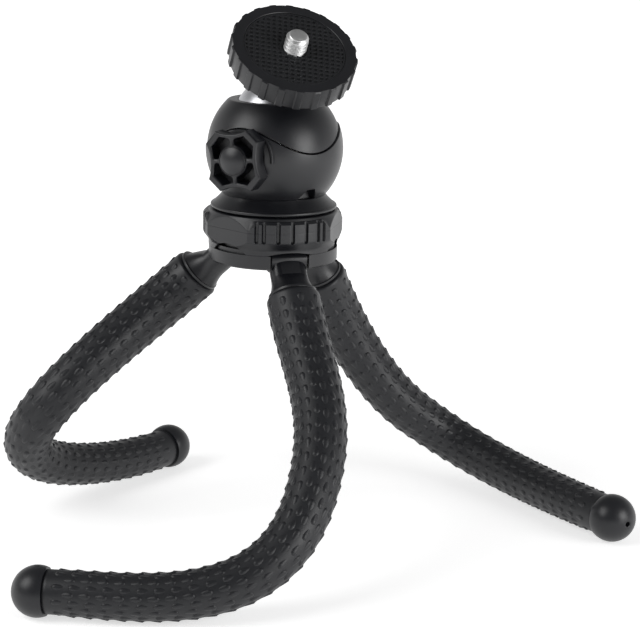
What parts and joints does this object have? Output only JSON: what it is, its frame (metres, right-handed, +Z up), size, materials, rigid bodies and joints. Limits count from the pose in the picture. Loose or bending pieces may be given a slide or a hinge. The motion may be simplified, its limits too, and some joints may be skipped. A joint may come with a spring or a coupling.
{
  "type": "flexible leg tripod",
  "caption": "Small tripod with a lockable ball head, a camera screw on a round plate, and bendable rubber legs that grip or stand.",
  "frame": {"origin": "middle of the object's box on the floor that its feet stand on", "axes": "+Z up, +X to the right in the picture along the widest spread of the legs, -Y towards the viewer"},
  "size_m": [0.1808, 0.1376, 0.1483],
  "materials": {
    "black_plastic": "satin charcoal plastic",
    "leg_rubber": "matte charcoal rubber with small raised nubs",
    "pad_rubber": "matte black rubber with a waffle face",
    "silver_metal": "bright turned metal",
    "steel": "plain zinc-plated steel",
    "core_metal": "plain soft wire",
    "brass": "machined",
    "white_nylon": "moulded"
  },
  "bodies": {
    "hub": {"hub": "black_plastic", "hub_cover": "black_plastic", "hub_screws": "steel", "pan_stud": "steel", "pan_washer": "white_nylon", "front_hinge_pin": "steel", "left_hinge_pin": "steel", "right_hinge_pin": "steel"},
    "head": {"shoulder": "black_plastic", "head_bush": "brass", "lower_shell": "black_plastic", "upper_shell": "black_plastic", "head_screws": "steel", "lock_bush": "brass"},
    "seat": {"ball_seat": "white_nylon"},
    "ball": {"ball": "silver_metal", "camera_screw": "silver_metal"},
    "plate": {"top_plate": "black_plastic", "top_pad": "pad_rubber"},
    "pad": {"pressure_pad": "white_nylon"},
    "knob": {"lock_screw": "steel", "lock_knob": "black_plastic", "knob_cap": "black_plastic"},
    "front_leg": {"front_ferrule": "black_plastic", "front_core": "core_metal", "front_sleeve_upper": "leg_rubber", "front_sleeve_flex": "leg_rubber"},
    "front_tip": {"front_sleeve_lower": "leg_rubber", "front_foot": "leg_rubber"},
    "left_leg": {"left_ferrule": "black_plastic", "left_core": "core_metal", "left_sleeve_upper": "leg_rubber", "left_sleeve_flex": "leg_rubber"},
    "left_tip": {"left_sleeve_lower": "leg_rubber", "left_foot": "leg_rubber"},
    "right_leg": {"right_ferrule": "black_plastic", "right_core": "core_metal", "right_sleeve_upper": "leg_rubber", "right_sleeve_flex": "leg_rubber"},
    "right_tip": {"right_sleeve_lower": "leg_rubber", "right_foot": "leg_rubber"}
  },
  "joints": [
    {"name": "head_pan", "type": "hinge", "parent": "hub", "child": "head", "pos_m": [-0.01204, 0.0216, 0.0915], "axis": [0.0209, 0, 0.9998], "continuous": true},
    {"name": "ball_swivel", "type": "hinge", "parent": "head", "child": "seat", "pos_m": [-0.01151, 0.0216, 0.11679], "axis": [0.0209, 0, 0.9998], "continuous": true},
    {"name": "ball_tilt", "type": "hinge", "parent": "seat", "child": "ball", "pos_m": [-0.01151, 0.0216, 0.11679], "axis": [-0.9395, -0.342, 0.0197], "range_deg": [-4, 78]},
    {"name": "plate_turn", "type": "hinge", "parent": "ball", "child": "plate", "pos_m": [-0.00563, 0.00667, 0.13776], "axis": [0.2225, -0.5655, 0.7941], "continuous": true},
    {"name": "lock_slide", "type": "slide", "parent": "head", "child": "pad", "axis": [-0.4771, -0.8788, 0.01], "range_m": [0, 0.0008]},
    {"name": "knob_turn", "type": "hinge", "parent": "pad", "child": "knob", "pos_m": [-0.02048, 0.00543, 0.10758], "axis": [-0.4771, -0.8788, 0.01], "range_deg": [0, 360]},
    {"name": "front_leg_hinge", "type": "hinge", "parent": "hub", "child": "front_leg", "pos_m": [-0.00835, 0.00869, 0.07892], "axis": [-0.9561, -0.2924, 0.02], "range_deg": [-27, 20]},
    {"name": "front_leg_bend", "type": "hinge", "parent": "front_leg", "child": "front_tip", "pos_m": [0.00125, -0.02776, 0.04206], "axis": [-0.9981, -0.0615, 0], "range_deg": [-30, 45], "deforming": ["front_sleeve_flex", "front_core"]},
    {"name": "left_leg_hinge", "type": "hinge", "parent": "hub", "child": "left_leg", "pos_m": [-0.02545, 0.02464, 0.07928], "axis": [0.2249, 0.9744, -0.0047], "range_deg": [-33, 12]},
    {"name": "left_leg_bend", "type": "hinge", "parent": "left_leg", "child": "left_tip", "pos_m": [-0.06373, 0.01139, 0.04844], "axis": [-0.5565, 0.8308, 0], "range_deg": [-30, 45], "deforming": ["left_sleeve_flex", "left_core"]},
    {"name": "right_leg_hinge", "type": "hinge", "parent": "hub", "child": "right_leg", "pos_m": [-0.0031, 0.03147, 0.07881], "axis": [0.7312, -0.682, -0.0153], "range_deg": [-22, 28]},
    {"name": "right_leg_bend", "type": "hinge", "parent": "right_leg", "child": "right_tip", "pos_m": [0.01984, 0.04302, 0.03316], "axis": [0.1391, -0.9903, 0], "range_deg": [-30, 45], "deforming": ["right_sleeve_flex", "right_core"]}
  ],
  "couplings": [
    {"joint": "knob_turn", "follows": "lock_slide", "rad_per_m": 7854}
  ]
}
